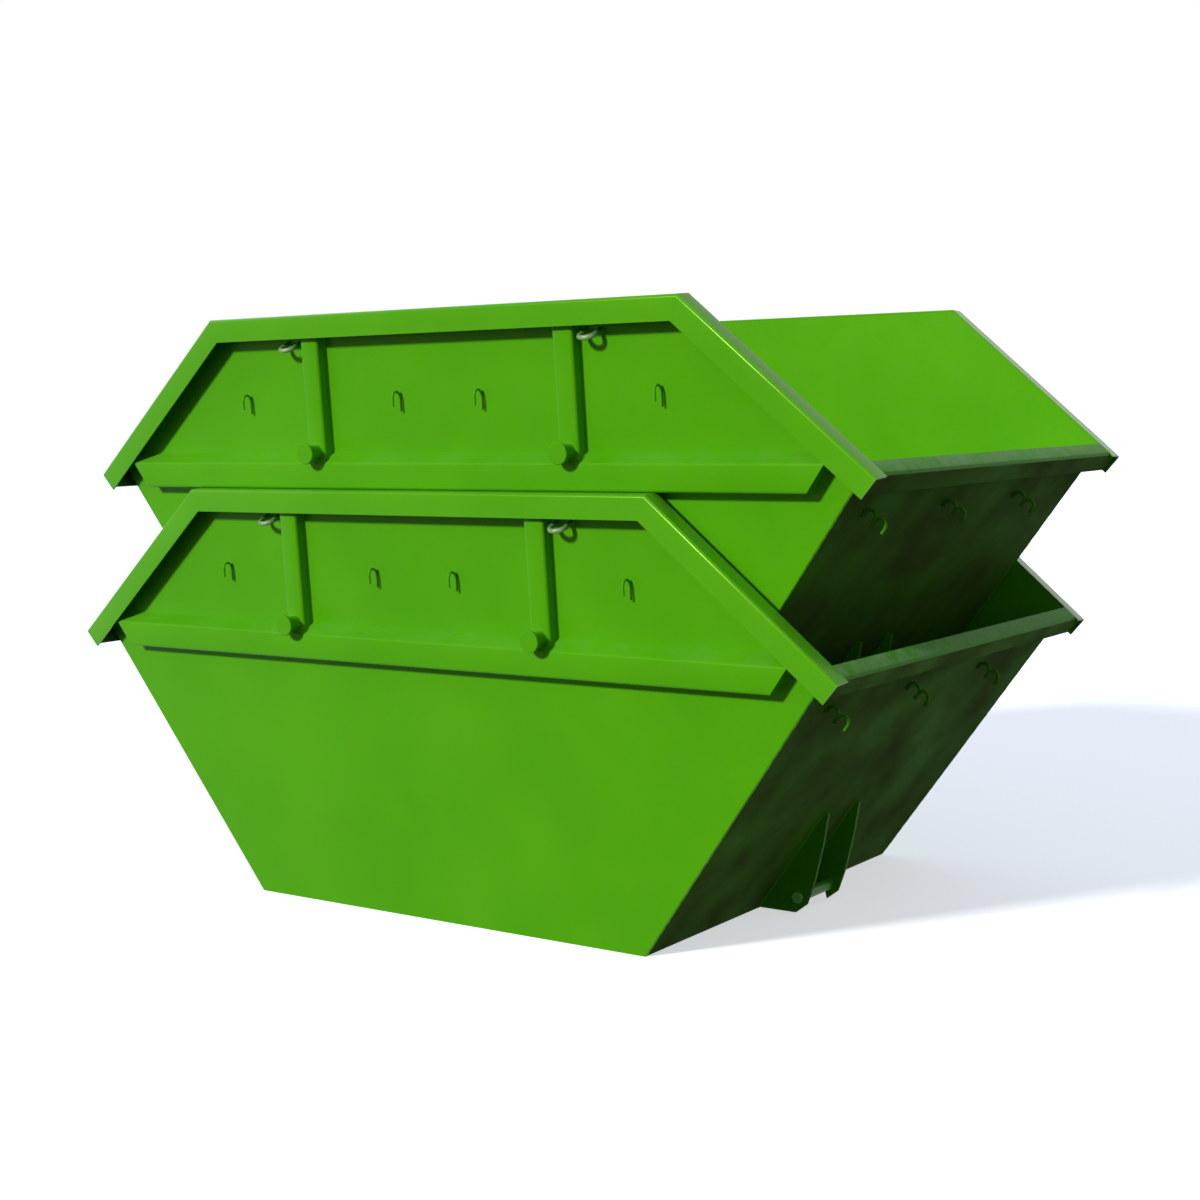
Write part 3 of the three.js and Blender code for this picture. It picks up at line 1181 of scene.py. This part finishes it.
@dataclass(frozen=True)
class Studio:
    """A pale floor, a low soft sun from the front left, and the camera."""

    floor_colour: str = "#fbfbfa"
    bounce_colour: str = "#282828"
    floor_radius: float = 60000
    floor_sides: int = 64
    floor_glow: float = 0.58
    sky: str = "#c8dcff"
    ambient: float = 0.42
    sun_angle: float = math.radians(7)
    sun_power: float = 3.0
    sun_azimuth: float = math.radians(-105)
    sun_height: float = math.radians(26)
    camera_place: tuple[float, float, float] = (3.9936, -5.6018, 1.6728)
    camera_turn: float = 0.6138
    camera_dip: float = 0.0997
    camera_roll: float = -0.0199
    camera_lens: float = 58.745
    camera_sensor: float = 36

    def shown(self, tree: bpy.types.NodeTree) -> Socket:
        """Marks the rays that show the background: camera, glossy and transmission rays.

        Args:
            tree: The node tree.

        Returns:
            1 for those rays and 0 for the others.
        """
        path = add_node(tree, "ShaderNodeLightPath").outputs
        seen = add_node(
            tree,
            "ShaderNodeMath",
            links={0: path["Is Camera Ray"], 1: path["Is Glossy Ray"]},
            operation="MAXIMUM",
        ).outputs[0]
        return add_node(
            tree,
            "ShaderNodeMath",
            links={0: seen, 1: path["Is Transmission Ray"]},
            operation="MAXIMUM",
        ).outputs[0]

    def floor(self) -> None:
        """Lays the pale floor."""
        shape = bmesh.new()
        bmesh.ops.create_circle(
            shape, cap_ends=True, segments=self.floor_sides, radius=self.floor_radius * MM
        )
        mesh = bpy.data.meshes.new("studio_floor")
        shape.to_mesh(mesh)
        shape.free()
        material = blank_material("pale_studio_floor")
        tree = material.node_tree
        pale = add_node(
            tree, "ShaderNodeBsdfDiffuse", {"Color": linear(self.floor_colour)}
        ).outputs[0]
        glow = add_node(
            tree,
            "ShaderNodeEmission",
            {"Color": linear(self.floor_colour), "Strength": self.floor_glow},
        ).outputs[0]
        lit = add_node(tree, "ShaderNodeAddShader", links={0: pale, 1: glow}).outputs[0]
        bounce = add_node(
            tree, "ShaderNodeBsdfDiffuse", {"Color": linear(self.bounce_colour)}
        ).outputs[0]
        surface = add_node(
            tree, "ShaderNodeMixShader", links={0: self.shown(tree), 1: bounce, 2: lit}
        ).outputs[0]
        add_node(tree, "ShaderNodeOutputMaterial", links={"Surface": surface})
        mesh.materials.append(material)
        floor = bpy.data.objects.new("studio_floor", mesh)
        bpy.context.scene.collection.objects.link(floor)

    def backdrop(self) -> None:
        """Makes a white surround that lights the skips only a little."""
        world = bpy.data.worlds.new("studio_surround")
        world.use_nodes = True
        tree = world.node_tree
        tree.nodes.clear()
        soft = add_node(
            tree, "ShaderNodeBackground", {"Color": linear(self.sky), "Strength": self.ambient}
        ).outputs[0]
        white = add_node(
            tree, "ShaderNodeBackground", {"Color": (1, 1, 1, 1), "Strength": 1.0}
        ).outputs[0]
        surface = add_node(
            tree, "ShaderNodeMixShader", links={0: self.shown(tree), 1: soft, 2: white}
        ).outputs[0]
        add_node(tree, "ShaderNodeOutputWorld", links={"Surface": surface})
        bpy.context.scene.world = world

    def sun(self) -> None:
        """Sets the low, soft sun."""
        flat = math.cos(self.sun_height)
        way = Vector(
            (
                flat * math.cos(self.sun_azimuth),
                flat * math.sin(self.sun_azimuth),
                math.sin(self.sun_height),
            )
        )
        data = bpy.data.lights.new("soft_sun", "SUN")
        data.angle = self.sun_angle
        data.energy = self.sun_power
        lamp = bpy.data.objects.new("soft_sun", data)
        lamp.rotation_euler = way.to_track_quat("Z", "Y").to_euler()
        bpy.context.scene.collection.objects.link(lamp)

    def camera(self) -> None:
        """Sets the camera where the photograph was taken from."""
        data = bpy.data.cameras.new("camera")
        data.lens = self.camera_lens
        data.sensor_width = self.camera_sensor
        camera = bpy.data.objects.new("camera", data)
        camera.matrix_world = (
            Matrix.Translation(self.camera_place)
            @ Matrix.Rotation(self.camera_turn, 4, "Z")
            @ Matrix.Rotation(math.pi / 2 - self.camera_dip, 4, "X")
            @ Matrix.Rotation(self.camera_roll, 4, "Z")
        )
        bpy.context.scene.collection.objects.link(camera)
        bpy.context.scene.camera = camera

    def build(self) -> None:
        """Sets up the studio."""
        self.floor()
        self.backdrop()
        self.sun()
        self.camera()
        bpy.context.scene.view_settings.view_transform = "Standard"


def main() -> None:
    """Loads the frame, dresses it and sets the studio."""
    logging.basicConfig(level=logging.INFO, format="%(name)s: %(message)s")
    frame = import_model()
    sizes = SkipSizes()
    finishes = spray()
    Studio().build()
    PackedSolids(finishes).dress(frame["nodes"])
    LiftingEyes(sizes, finishes).build()
    Trunnions(sizes, finishes).build()
    WeldBeads(sizes, finishes).build()


if __name__ == "__main__":
    main()
